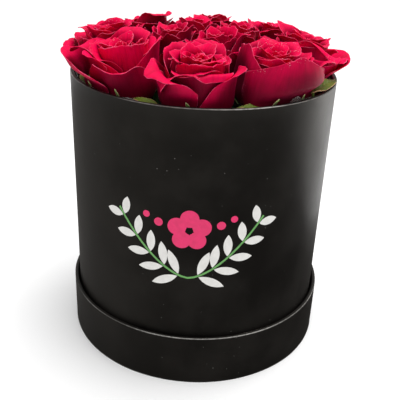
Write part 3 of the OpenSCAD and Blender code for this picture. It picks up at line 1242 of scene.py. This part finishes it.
@dataclass
class Calyx:
    """The hip under a head and its five sepals.

    On the outer roses the sepals that point outwards turn up past the petals, and their tips
    show over the rim. Lengths are in millimetres.
    """

    rose: Rose
    hip_h: float = 9.0
    hip_r: float = 4.8
    stem_r: float = 2.6
    sepals: int = 5

    def hip(self) -> Surface:
        """The hip: a bulb with faint ribs, turned about the head's axis.

        Returns:
            The hip, in the row frame.
        """
        profile = np.array(
            [
                [0.02, -self.hip_h], [self.stem_r, -self.hip_h], [3.3, -8.2], [4.1, -6.6],
                [4.7, -4.6], [self.hip_r, -3.4], [4.5, -1.8], [4.0, -0.4], [3.2, 0.3], [0.02, 0.5],
            ]
        )
        sides = 40
        angles = np.arange(sides) * TAU / sides
        ribs = 0.12 * np.cos(5.0 * angles)[:, None] * np.ones((1, len(profile)))
        ribs[:, [0, -1]] = 0.0
        bulb = lathe(profile, angles, ribs)
        bulb.values = plain_values(len(bulb.points))
        bulb.points = self.rose.placed(bulb.points)
        return bulb

    def sepal(self, index: int, rng: np.random.Generator) -> Surface:
        """One sepal, a tapered strip that narrows to a tail.

        Its centre line is a smooth curve from the hip. Below a head it droops and curls; where
        it points at the wall of an outer rose it runs out under the petals, climbs beside the
        film, and leans over the rim. Its half width swells to a third of the way and then falls
        as a power to the tip, and it is cupped across.

        Args:
            index: which of the five.
            rng: source of small differences.

        Returns:
            The sepal, in the row frame.
        """
        rose = self.rose
        azimuth = (index * 360.0 / self.sepals + 18.0 * (rose.number - 1) + 180.0) % 360.0 - 180.0
        t = np.linspace(0.0, 1.0, 26)
        knots = np.linspace(0.0, 1.0, 6)
        outer = rose.neck_r > 40.0
        facing = outer and abs(azimuth) < 62.0
        turn = math.radians(rose.angle)
        a = math.radians(azimuth)
        if facing:
            spread = math.radians(rose.angle + azimuth * 0.26)
            high = RIM_Z + rng.uniform(1.0, 4.5)
            start = rose.placed(np.array([3.6 * math.sin(a), -3.6 * math.cos(a), -2.0]))
            radius = np.array([0.0, 74.0, 82.5, 85.2, 86.0, 88.2 + rng.uniform(-0.6, 0.8)])
            height = np.array([0.0, 178.5, 181.0, 187.0, RIM_Z - 0.8, high])
            bend = spread + math.radians(rng.normal(0.0, 1.2)) * knots**2
            line = np.stack([radius * np.sin(bend), -radius * np.cos(bend), height], axis=-1)
            line[0] = start
            across_dir = np.array([math.cos(spread), math.sin(spread), 0.0])
        else:
            droop = rng.uniform(2.0, 5.0)
            out = np.array([3.4, 8.0, 12.5, 16.0, 18.5, 19.5])
            down = np.array([-1.8, -3.2, -4.8, -6.5, -6.5 - droop, -6.0 - 1.6 * droop])
            local = np.stack([out * math.sin(a), -out * math.cos(a), down], axis=-1)
            line = rose.placed(local)
            across_dir = np.array([math.cos(turn + a), math.sin(turn + a), 0.0])
        centre = np.stack([hermite(knots, line[:, k], t) for k in range(3)], axis=-1)
        ahead = np.gradient(centre, axis=0)
        ahead /= np.linalg.norm(ahead, axis=1, keepdims=True)
        side = across_dir[None] - ahead * (ahead @ across_dir)[:, None]
        side /= np.linalg.norm(side, axis=1, keepdims=True)
        normal = np.cross(side, ahead)
        width = 0.5 * (6.4 if facing else 5.6) * (t + 0.10) ** 0.35 * (1.0 - t) ** 0.75 + 0.12
        across = np.linspace(-1.0, 1.0, 9)
        jag = 1.0 + 0.12 * np.sin(17.0 * t + index) * smooth(0.3, 0.6, t)
        shift = across[None, :, None] * (width * jag)[:, None, None] * side[:, None]
        cup = 0.22 * (across[None, :, None] ** 2 - 0.4) * width[:, None, None] * normal[:, None]
        middle = centre[:, None] + shift + cup
        edge = np.exp(-(1.0 - np.abs(across))[None, :] * width[:, None] / 0.3)
        values = {"rim": edge, "tone": np.full(edge.shape, 0.5)}
        uv = np.stack(
            np.broadcast_arrays(across[None, :] * 0.5 + 0.5, t[:, None] * np.ones((1, 9))), axis=-1
        )
        return thin_shell(middle, np.full(edge.shape, 0.42), uv, values)

    def build(self, material: bpy.types.Material) -> None:
        """Makes the calyx as one piece.

        Args:
            material: its finish.
        """
        rng = np.random.default_rng(300 + self.rose.number)
        parts = [self.hip()] + [self.sepal(k, rng) for k in range(self.sepals)]
        node = f"rose_{self.rose.number}_calyx"
        Surface.join(parts).piece(f"{node}_sepals", material, Body.INSERT, "rose_green", [node])


@dataclass
class Film:
    """The clear liner: a crinkled cup of film with a ragged edge that peeps over the rim.

    Each crumple is a bearing and a half width in degrees, and its strength.
    """

    outer: float = FILM_R
    thickness: float = 0.25
    low: float = 5.2
    high: float = 192.0
    stations: int = 360
    crumples: tuple[tuple[float, float, float], ...] = ((40.0, 3.5, 1.0), (-52.0, 3.0, 0.6))

    def build(self, material: bpy.types.Material) -> None:
        """Makes the film.

        The wall's radius is a ridged sum of waves in the angle and height, kept inside the
        film's own radius. The edge rises and falls with the angle, most at two crumples.

        Args:
            material: its finish.
        """
        rows = np.concatenate([np.linspace(self.low, 180.0, 36), np.linspace(183.0, self.high, 8)])
        outside = np.stack([np.full_like(rows, self.outer), rows], axis=-1)
        inside = outside[::-1] - np.array([self.thickness, 0.0])
        floor = self.low + self.thickness
        foot = np.array([[self.outer - self.thickness, floor], [0.01, floor], [0.01, self.low]])
        profile = np.concatenate([outside, inside[:-1], foot])
        angles = np.arange(self.stations) * TAU / self.stations
        turn, height = angles[:, None], profile[None, :, 1]
        ridge = np.abs(np.sin(11.0 * turn + 0.05 * height))
        ridge = ridge + np.abs(np.sin(17.0 * turn - 0.035 * height + 1.3))
        ridge = ridge + 0.7 * np.abs(np.sin(29.0 * turn + 0.11 * height + 0.6))
        wall = smooth(80.0, 86.0, profile[None, :, 0])
        swell = -(0.12 + 0.22 * smooth(142.0, 152.0, height)) * ridge * smooth(5.0, 20.0, height) * wall
        bearing = (np.degrees(turn) + 180.0) % 360.0 - 180.0
        crumple = np.zeros_like(bearing)
        for place, spread, share in self.crumples:
            crumple = crumple + share * np.exp(-(((bearing - place) / spread) ** 2))
        peak = 1.2 * np.sin(9.0 * turn) + 0.8 * np.sin(23.0 * turn + 1.0) + 5.5 * crumple
        edge = smooth(183.0, self.high, height) * wall
        swell = swell + edge * 0.5 * crumple * np.sin(90.0 * turn + 0.6 * height)
        lathe(profile, angles, swell, peak * edge).piece(
            "clear_film_liner", material, Body.INSERT, "clear_film", ["film_liner"]
        )


# Petals of the front heads that are set one by one: the head's number, then the petal's place
# counted from the heart, then what differs. A turn of 0 faces outwards from the box.
# A high tone paints light on a petal whose lip is lit, and a low tone paints shade on a low front petal
SET_PETALS: dict[int, dict[int, dict[str, float]]] = {
    # A tall smooth cup, framed by two rims that fold out and meet low at the front
    8: {
        13: dict(
            turn=56, half=98, lip_r=15, lip_z=40, drop=0.12, curl=12, wave=0.3, ruffle=0.7, tone=1.6,
        ),
        14: dict(turn=131),
        15: dict(turn=-19),
        16: dict(turn=206),
        17: dict(turn=-74),
        18: dict(turn=166),
        19: dict(turn=246),
        20: dict(turn=-44, lip_z=36),
        21: dict(
            turn=-8, half=66, lip_r=24, lip_z=37, drop=0.46, roundness=1.3, curl=110, skew=0, tone=1.3,
        ),
        22: dict(
            turn=119, half=66, lip_r=24, lip_z=38, drop=0.46, roundness=1.3, curl=90, skew=0, tone=1.3,
        ),
        23: dict(
            turn=38, half=72, lip_r=29, lip_z=31, drop=0.40, roundness=2.0, curl=60, skew=-0.4,
            tone=0.2,
        ),
        24: dict(
            turn=-32, half=54, lip_r=35, lip_z=35, drop=0.20, roundness=2.8, curl=40, wave=0.3,
            cusp=0, ruffle=0.3, tone=0.1,
        ),
    },
    # Rolled lips across the front, and a long petal that curls round from the right
    1: {
        20: dict(turn=20, half=72, lip_r=18, lip_z=38, drop=0.16, roundness=2.6, curl=60, tone=1.2),
        21: dict(turn=-52, half=60, lip_r=26, lip_z=35, drop=0.34, roundness=1.6, curl=170, tone=0.2),
        22: dict(turn=160),
        23: dict(
            turn=-4, half=76, lip_r=24, lip_z=36, drop=0.14, roundness=3.4, curl=200, lip=0.34,
            tone=0.2,
        ),
        24: dict(
            turn=62, half=66, lip_r=30, lip_z=35, drop=0.66, roundness=1.4, curl=120, skew=0.1,
            tone=0.2,
        ),
    },
    # Broad smooth petals whose thin rims cross at the front
    2: {
        19: dict(
            turn=-47, half=90, lip_r=17, lip_z=39, drop=0.14, curl=15, wave=0.4, ruffle=0.4, tone=1.2,
        ),
        20: dict(turn=73),
        21: dict(turn=163),
        22: dict(
            turn=-112, half=70, lip_r=19, lip_z=41, drop=0.34, roundness=1.5, curl=15, wall=96,
            top=110,
        ),
        23: dict(
            turn=-14, half=80, lip_r=20, lip_z=41, drop=0.26, roundness=1.7, curl=12, wall=96,
            top=110, tone=0.15,
        ),
        24: dict(turn=50, lip_z=34),
    },
    # Curled rims over a low rounded petal on the left
    3: {
        21: dict(turn=8, half=62, lip_r=37, lip_z=31, drop=0.26, curl=70, wave=0.9, tone=0.8),
        22: dict(turn=-75, half=56, lip_r=25, lip_z=36, drop=0.30, curl=165, tone=1.2),
        23: dict(turn=-20, half=58, lip_r=29, lip_z=31, drop=0.28, curl=170, tone=1.2),
        24: dict(
            turn=-128, half=44, lip_r=28, lip_z=28, drop=0.40, roundness=2.6, curl=25, wave=0.4,
            tone=0.0,
        ),
    },
}


@dataclass
class Bouquet:
    """The ring of eight outer roses and the four in the middle.

    A neck is a radius, a height and a lean. The split is the radius where inner and outer roses
    meet, and the wave is how far their walls wander.
    """

    ring_turn: float = -4.0
    ring_count: int = 8
    ring_neck: tuple[float, float, float] = (61.0, 183.0, 10.0)
    inner_turn: float = 20.0
    inner_count: int = 4
    inner_neck: tuple[float, float, float] = (21.0, 186.0, 5.0)
    split: float = 39.0
    wave: float = 1.1
    ring_seeds: tuple[int, ...] = (40, 41, 42, 53, 44, 55, 46, 47)
    ring_open: tuple[float, ...] = (0.6, 0.35, 0.5, 0.6, 0.4, 0.7, 0.5, 0.3)
    inner_seed: int = 80
    inner_open: float = 0.45

    def walls(self, angle: float, outer: bool) -> list[Wall]:
        """The walls round one rose.

        Args:
            angle: the rose's bearing from the front, in degrees.
            outer: whether it stands in the ring.

        Returns:
            The walls that it shares with its neighbours.
        """
        made: list[Wall] = []
        half = 180.0 / (self.ring_count if outer else self.inner_count)
        for way in (-1.0, 1.0):
            beam = math.radians(angle + way * half)
            # The wall runs along the beam, and its normal is fixed for both of its roses
            normal = (math.cos(beam), math.sin(beam))
            made.append(Wall(normal, 0.0, self.wave, 5.0 * math.sin(3.0 * beam), way))
        bearings = [angle] if outer else [
            self.ring_turn + i * 360.0 / self.ring_count for i in range(self.ring_count)
        ]
        for bearing in bearings:
            beam = math.radians(bearing)
            normal = (math.sin(beam), -math.cos(beam))
            phase = 4.0 * math.sin(2.0 * beam + 1.0)
            made.append(Wall(normal, self.split, self.wave, phase, -1.0 if outer else 1.0))
        return made

    def roses(self) -> list[Rose]:
        """All twelve roses. Those at the back are a little lower.

        Returns:
            The roses, in the order of their numbers.
        """
        made: list[Rose] = []
        for i in range(self.ring_count):
            angle = self.ring_turn + i * 360.0 / self.ring_count
            made.append(
                Rose(
                    i + 1, angle, *self.ring_neck, size=1.12, seed=self.ring_seeds[i],
                    openness=self.ring_open[i],
                    tall=1.0 - 0.07 * float(smooth(0.0, 0.8, -math.cos(math.radians(angle)))),
                    walls=self.walls(angle, True), accents=SET_PETALS.get(i + 1, {}),
                )
            )
        for i in range(self.inner_count):
            angle = self.inner_turn + i * 360.0 / self.inner_count
            made.append(
                Rose(
                    self.ring_count + i + 1, angle, *self.inner_neck, size=0.88,
                    seed=self.inner_seed + i, openness=self.inner_open, count=22,
                    walls=self.walls(angle, False),
                )
            )
        return made

    def leaves(self) -> list[Leaf]:
        """The leaves in the gaps of the ring.

        Returns:
            The leaves, in the order of their numbers.
        """
        # Gap, length, width, base_r, tilt, rise, aside and swing of each leaf
        rows = (
            (3, 34.0, 13.0, 83.0, 12.0, 1.6, 4.5, 12.0),
            (2, 40.0, 6.5, 83.8, 30.0, 1.7, -1.0, 6.0),
            (1, 20.0, 5.0, 79.0, 20.0, -3.6, 4.5, 12.0),
            (0, 22.0, 4.4, 79.0, 25.0, -3.2, 4.5, 12.0),
            (5, 34.0, 13.0, 83.0, 14.0, 1.6, 4.5, 12.0),
            (7, 23.0, 6.0, 79.0, 10.0, -3.0, 4.5, 12.0),
        )
        step = 360.0 / self.ring_count
        return [
            Leaf(n + 1, self.ring_turn + (row[0] - 0.5) * step, *row[1:], seed=n)
            for n, row in enumerate(rows)
        ]

    def build(self) -> None:
        """Makes and dresses every head, calyx and leaf."""
        petals = PetalFinish().build()
        sepals = LeafFinish(
            "sepal green", green=(0.13, 0.22, 0.03), dark=(0.06, 0.12, 0.02),
            vein=(0.24, 0.34, 0.09), edge=(0.48, 0.44, 0.22), under=(0.20, 0.28, 0.10), pairs=5.0,
        ).build()
        leaves = LeafFinish(
            "leaf green", green=(0.11, 0.15, 0.004), dark=(0.055, 0.088, 0.004),
            vein=(0.19, 0.24, 0.018), edge=(0.66, 0.36, 0.20), under=(0.10, 0.14, 0.012), pairs=9.0,
        ).build()
        for rose in self.roses():
            rose.build(petals)
            Calyx(rose).build(sepals)
        for leaf in self.leaves():
            leaf.build(leaves)
        Film().build(FilmFinish().build())


# ---------------------------------------------------------------- the box


@dataclass
class Drum:
    """The drum: board tube and floor, its lining, and the black wrap turned in at the rim.

    Lengths are in millimetres. The wrap starts a foot above the floor, is turned in over the
    rim by a depth, and overlaps itself at the back by the seam's width.
    """

    outer: float = DRUM_R
    inner: float = LINING_R
    paper: float = 0.3
    foot: float = 2.6
    rim: float = RIM_Z
    turn_in: float = 15.0
    seam_w: float = 12.0
    lip: float = 0.75
    stations: int = 288

    def profile(self) -> Array:
        """Outline of the wrap: up the outside, over a rounded lip, down inside, and back.

        Returns:
            (radius, height) pairs, anticlockwise.
        """
        return wrap_profile(
            self.inner, self.outer, self.foot, self.rim, self.turn_in, self.paper, self.lip
        )

    def swell(self, angles: Array, profile: Array) -> Array:
        """Radial offsets: a long wave of the tube, two shallow dents and the seam's step.

        Args:
            angles: the stations, in radians.
            profile: the wrap's outline.

        Returns:
            An offset for each station and point of the outline, in millimetres.
        """
        turn = angles[:, None]
        height = profile[None, :, 1]
        wave = 0.10 * np.sin(3.0 * turn + 0.4) + 0.05 * np.sin(7.0 * turn + 0.02 * height)
        away = (turn - math.pi) * self.outer
        # Bearing, height, radius and depth of each dent
        dents = (
            (math.radians(-20.0) % TAU, 158.0, 7.0, 0.16),
            (math.radians(31.0), 66.0, 5.0, 0.12),
        )
        for centre, level, spread, depth in dents:
            gap = np.hypot((turn - centre) * self.outer, height - level)
            wave = wave - depth * np.exp(-((gap / spread) ** 2))
        outside = profile[None, :, 0] > self.outer - 0.5 * self.paper
        seam = (np.abs(away) < self.seam_w / 2.0) & outside & (height < self.rim - 1.2)
        return wave + np.where(seam, 0.5 * self.paper, 0.0)

    def angles(self) -> Array:
        """Stations round the drum, with two close pairs at the edges of the seam.

        Returns:
            Increasing angles, in radians.
        """
        edge = self.seam_w / 2.0 / self.outer
        extra = [math.pi + way * (edge + step) for way in (-1.0, 1.0) for step in (-2e-4, 2e-4)]
        return np.unique(np.concatenate([np.arange(self.stations) * TAU / self.stations, extra]))

    def build(self, wrap: bpy.types.Material) -> None:
        """Makes the wrap and dresses the base paper.

        Args:
            wrap: the black paper's finish.
        """
        angles, profile = self.angles(), self.profile()
        skin = lathe(profile, angles, self.swell(angles, profile))
        skin.piece("drum_outer_wrap", wrap, Body.DRUM, "black_wrap", ["drum_wrap"])
        dress("drum_base_paper", wrap)


def wrap_profile(
    inner: float, outer: float, low: float, high: float, depth: float, paper: float, lip: float
) -> Array:
    """Closed outline of paper that covers a wall, rounds its top and turns in.

    It goes up the outer side, round two quarter circles of the lip's radius at the top, down
    the inner side, and back along the same path one paper thickness inside.

    Args:
        inner: inner radius.
        outer: outer radius.
        low: height of the foot.
        high: height of the top.
        depth: how far the paper is turned in.
        paper: the paper's thickness.
        lip: radius of the rounded corners at the top.

    Returns:
        (radius, height) pairs, anticlockwise.
    """
    quarter = np.linspace(0.0, math.pi / 2.0, 6)

    def path(pad: float) -> Array:
        """The path from foot to turn-in, a distance inside the outer face.

        Args:
            pad: that distance.

        Returns:
            (radius, height) pairs.
        """
        bend = lip - pad
        side = np.linspace(low, high - lip, 24)
        rise = np.stack([np.full_like(side, outer - pad), side], axis=-1)
        first = np.stack(
            [outer - lip + bend * np.cos(quarter), high - lip + bend * np.sin(quarter)], axis=-1
        )
        second = np.stack(
            [inner + lip - bend * np.sin(quarter), high - lip + bend * np.cos(quarter)], axis=-1
        )
        fall_z = np.linspace(high - lip, high - depth, 4)
        fall = np.stack([np.full_like(fall_z, inner + pad), fall_z], axis=-1)
        return np.concatenate([rise, first[1:], second, fall[1:]])

    return np.concatenate([path(0.0), path(paper)[::-1]])


@dataclass
class Lid:
    """The upturned lid that the drum stands in."""

    inner: float = 91.4
    outer: float = 94.0
    paper: float = 0.3
    top: float = 37.0
    turn_in: float = 12.0
    lip: float = 0.8
    stations: int = 288

    def build(self, wrap: bpy.types.Material) -> None:
        """Makes the wrap and dresses the face paper.

        Args:
            wrap: the black paper's finish.
        """
        profile = wrap_profile(
            self.inner, self.outer, 0.0, self.top, self.turn_in, self.paper, self.lip
        )
        angles = np.arange(self.stations) * TAU / self.stations
        turn = angles[:, None]
        swell = 0.12 * np.sin(2.0 * turn + 1.1) + 0.05 * np.sin(9.0 * turn + 0.1 * profile[None, :, 1])
        lathe(profile, angles, swell).piece(
            "lid_outer_wrap", wrap, Body.LID, "black_wrap", ["lid_wrap"]
        )
        dress("lid_face_paper", wrap)


def dress(node: str, material: bpy.types.Material) -> None:
    """Gives a node of the part's own model a finish.

    Args:
        node: the node's name.
        material: its finish.
    """
    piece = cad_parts[node]
    piece.data.materials.clear()
    piece.data.materials.append(material)
    log.info("%s: %s", node, material.name)


def dress_inside() -> None:
    """Finishes of the board, linings, print, foam and stems of the part's own model."""
    board = FibreFinish("grey board", (0.26, 0.23, 0.19), (0.14, 0.12, 0.10)).build()
    lining = FibreFinish("dark lining", (0.022, 0.021, 0.020), (0.05, 0.048, 0.045), 1700.0, 0.04).build()
    for node in ("lid_panel", "lid_band", "drum_floor", "drum_wall"):
        dress(node, board)
    for node in ("lid_lining", "drum_lining"):
        dress(node, lining)
    dress("print_leaves", InkFinish("white print", (0.80, 0.79, 0.76), (0.62, 0.61, 0.58)).build())
    dress("print_twigs", InkFinish("green print", (0.16, 0.42, 0.12), (0.09, 0.28, 0.07)).build())
    dress("print_blossoms", InkFinish("pink print", (0.85, 0.03, 0.16), (0.62, 0.01, 0.09)).build())
    dress("foam_block", FoamFinish().build())
    stem = StemFinish().build()
    for number in range(Bouquet.ring_count + Bouquet.inner_count):
        dress(f"rose_{number + 1}_stem", stem)


# ---------------------------------------------------------------- studio


@dataclass(frozen=True)
class Softbox:
    """One large soft light that faces the box."""

    name: str
    place: tuple[float, float, float]
    width: float
    height: float
    power: float
    colour: Colour = (1.0, 1.0, 1.0)

    def build(self, aim: Vector) -> None:
        """Makes the light.

        Args:
            aim: the point that it faces.
        """
        lamp = bpy.data.lights.new(self.name, "AREA")
        lamp.shape = "RECTANGLE"
        lamp.size, lamp.size_y = self.width, self.height
        lamp.energy = self.power
        lamp.color = self.colour
        light = bpy.data.objects.new(self.name, lamp)
        light.location = self.place
        light.rotation_euler = (aim - Vector(self.place)).to_track_quat("-Z", "Y").to_euler()
        light.visible_camera = False
        bpy.context.scene.collection.objects.link(light)


@dataclass
class Studio:
    """Pale floor, soft lights and the camera."""

    eye: tuple[float, float, float] = (0.0, -0.42953, 0.30427)
    down: float = 0.4566
    yaw: float = 0.0028
    roll: float = 0.0435
    focal: float = 57.06
    floor_half: float = 6.0
    world: float = 0.52
    aim_z: float = 0.12
    card_near: float = 0.24
    card_more: float = 0.71
    card_dark: Colour = (0.03, 0.028, 0.026)
    card_grey: Colour = (0.20, 0.193, 0.185)
    boxes: tuple[Softbox, ...] = (
        Softbox("key", (0.40, 0.05, 3.0), 2.2, 2.2, 104.0),
        Softbox("fill", (-0.7, -1.3, 0.9), 1.0, 0.8, 1.5),
        Softbox("side strip", (0.62, 0.30, 0.14), 0.35, 0.22, 0.7, (1.0, 0.96, 0.92)),
    )

    def camera(self) -> None:
        """Makes the camera: a pinhole at the eye, pitched down, with a small yaw and roll."""
        lens = bpy.data.cameras.new("camera")
        lens.lens = self.focal
        lens.sensor_width = 36.0
        lens.clip_start, lens.clip_end = 0.01, 50.0
        ahead = Vector(
            (
                math.sin(self.yaw) * math.cos(self.down),
                math.cos(self.yaw) * math.cos(self.down),
                -math.sin(self.down),
            )
        )
        level = Vector((math.cos(self.yaw), -math.sin(self.yaw), 0.0))
        above = level.cross(ahead)
        right = math.cos(self.roll) * level + math.sin(self.roll) * above
        up = -math.sin(self.roll) * level + math.cos(self.roll) * above
        turn = Matrix((right, up, -ahead)).transposed().to_4x4()
        camera = bpy.data.objects.new("camera", lens)
        camera.matrix_world = Matrix.Translation(Vector(self.eye)) @ turn
        bpy.context.scene.collection.objects.link(camera)
        bpy.context.scene.camera = camera

    def flag(self) -> None:
        """Makes a card on the floor that only reflections see, dark in front and grey on the left.

        Its edge is 0.24 m from the middle on the right and 0.95 m on the left and in front, so
        the satin wrap stays dark there and its right picks up light.
        """
        bearing = np.radians(np.arange(0.0, 360.0, 5.0))
        aside = np.degrees(np.arctan2(np.sin(bearing), np.cos(bearing)))
        more = smooth(-170.0, -120.0, aside) * (1.0 - smooth(60.0, 110.0, aside))
        reach = self.card_near + self.card_more * more
        x, y = reach * np.sin(bearing), -reach * np.cos(bearing)
        mesh = bpy.data.meshes.new("studio_flag")
        corners = np.stack([x, y, np.full_like(x, 0.0005)], axis=-1)
        mesh.from_pydata(corners.tolist(), [], [tuple(range(len(x)))])
        g = Graph("studio card")
        across, ahead, _ = g.parts(g.place())
        leftward = g.math("SUBTRACT", g.math("MULTIPLY", ahead, 0.58), across)
        tone = g.mix(g.step(leftward, -0.16, 0.04), self.card_dark, self.card_grey)
        g.set(Base_Color=tone, Roughness=0.9, Specular_IOR_Level=0.0)
        mesh.materials.append(g.material)
        card = bpy.data.objects.new("studio_flag", mesh)
        card.visible_camera = False
        card.visible_diffuse = False
        card.visible_shadow = False
        card.visible_transmission = False
        bpy.context.scene.collection.objects.link(card)

    def build(self) -> None:
        """Makes the floor, the world, the lights and the camera."""
        mesh = bpy.data.meshes.new("studio_floor")
        half = self.floor_half
        corners = [(-half, -half, 0.0), (half, -half, 0.0), (half, half, 0.0), (-half, half, 0.0)]
        mesh.from_pydata(corners, [], [(0, 1, 2, 3)])
        mesh.materials.append(FloorFinish().build())
        floor = bpy.data.objects.new("studio_floor", mesh)
        bpy.context.scene.collection.objects.link(floor)
        world = bpy.data.worlds.new("studio")
        world.use_nodes = True
        backdrop = world.node_tree.nodes["Background"]
        backdrop.inputs["Color"].default_value = (1.0, 1.0, 1.0, 1.0)
        backdrop.inputs["Strength"].default_value = self.world
        bpy.context.scene.world = world
        bpy.context.scene.view_settings.view_transform = "Standard"
        for box in self.boxes:
            box.build(Vector((0.0, 0.0, self.aim_z)))
        self.flag()
        self.camera()


def main() -> None:
    """Builds the box, the roses and the studio in order."""
    logging.basicConfig(level=logging.INFO, format="%(name)s: %(message)s")
    wrap = WrapFinish().build()
    Lid().build(wrap)
    Drum().build(wrap)
    dress_inside()
    Bouquet().build()
    Studio().build()


if __name__ == "__main__":
    main()
